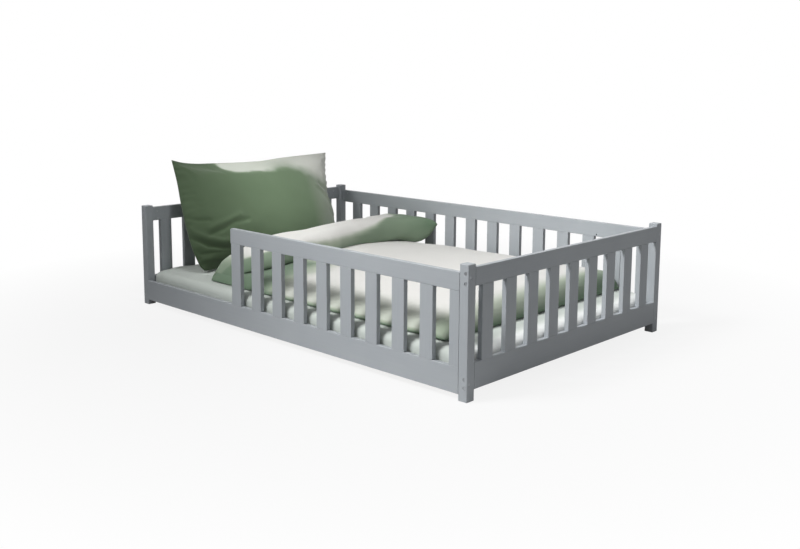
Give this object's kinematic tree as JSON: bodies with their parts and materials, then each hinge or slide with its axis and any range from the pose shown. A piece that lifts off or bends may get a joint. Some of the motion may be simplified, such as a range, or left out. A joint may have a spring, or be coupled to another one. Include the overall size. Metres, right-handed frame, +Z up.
{
  "type": "toddler floor bed",
  "caption": "Low wooden floor bed with slatted guard rails on all sides, an open entry at the front near the head, slatted base, mattress, duvet and pillow.",
  "frame": {"origin": "on the floor under the middle of the wooden frame", "axes": "+X to the foot end, +Y to the back, +Z up; the entry gap is in the front (-Y) beside the head end"},
  "size_m": [1.95, 1.25, 0.6629],
  "materials": {
    "painted_pine": "satin paint, pale cool grey",
    "bare_pine": "planed, unpainted",
    "zinc_steel": "zinc plated",
    "mattress_cover": "knitted cover",
    "sheet_cotton": "matte plain weave",
    "duvet_cotton": "matte plain weave, off-white with green",
    "pillow_cotton": "matte plain weave, sage green"
  },
  "bodies": {
    "frame": {"back_balusters": "painted_pine", "back_bottom_board": "painted_pine", "back_ledge": "bare_pine", "back_ledge_screws": "zinc_steel", "back_post_stile": "painted_pine", "back_top_rail": "painted_pine", "barrel_nuts": "zinc_steel", "base_slats": "bare_pine", "centre_beam": "bare_pine", "centre_feet": "bare_pine", "foot_baluster_1": "painted_pine", "foot_baluster_2": "painted_pine", "foot_baluster_3": "painted_pine", "foot_baluster_4": "painted_pine", "foot_baluster_5": "painted_pine", "foot_baluster_6": "painted_pine", "foot_baluster_7": "painted_pine", "foot_baluster_8": "painted_pine", "foot_baluster_9": "painted_pine", "foot_bottom_board": "painted_pine", "foot_screws": "zinc_steel", "foot_top_rail": "painted_pine", "frame_bolts": "zinc_steel", "frame_dowels": "bare_pine", "front_baluster_1": "painted_pine", "front_baluster_2": "painted_pine", "front_baluster_3": "painted_pine", "front_baluster_4": "painted_pine", "front_baluster_5": "painted_pine", "front_baluster_6": "painted_pine", "front_baluster_7": "painted_pine", "front_baluster_8": "painted_pine", "front_bottom_board": "painted_pine", "front_end_stile": "painted_pine", "front_guard_rail": "painted_pine", "front_ledge": "bare_pine", "front_ledge_screws": "zinc_steel", "front_post_stile": "painted_pine", "head_balusters": "painted_pine", "head_bottom_board": "painted_pine", "head_top_rail": "painted_pine", "post_foot_back": "painted_pine", "post_foot_front": "painted_pine", "post_head_back": "painted_pine", "post_head_front": "painted_pine", "slat_screws": "zinc_steel"},
    "mattress": {"mattress": "mattress_cover", "fitted_sheet": "sheet_cotton"},
    "duvet": {"duvet": "duvet_cotton"},
    "pillow": {"pillow": "pillow_cotton"}
  },
  "joints": [
    {"name": "mattress_lift", "type": "slide", "parent": "frame", "child": "mattress", "axis": [0, 0, 1], "range_m": [0, 0.45]},
    {"name": "duvet_lift", "type": "slide", "parent": "mattress", "child": "duvet", "axis": [0, 0, 1], "range_m": [0, 0.4]},
    {"name": "pillow_lift", "type": "slide", "parent": "mattress", "child": "pillow", "axis": [0, 0, 1], "range_m": [0, 0.45]}
  ]
}
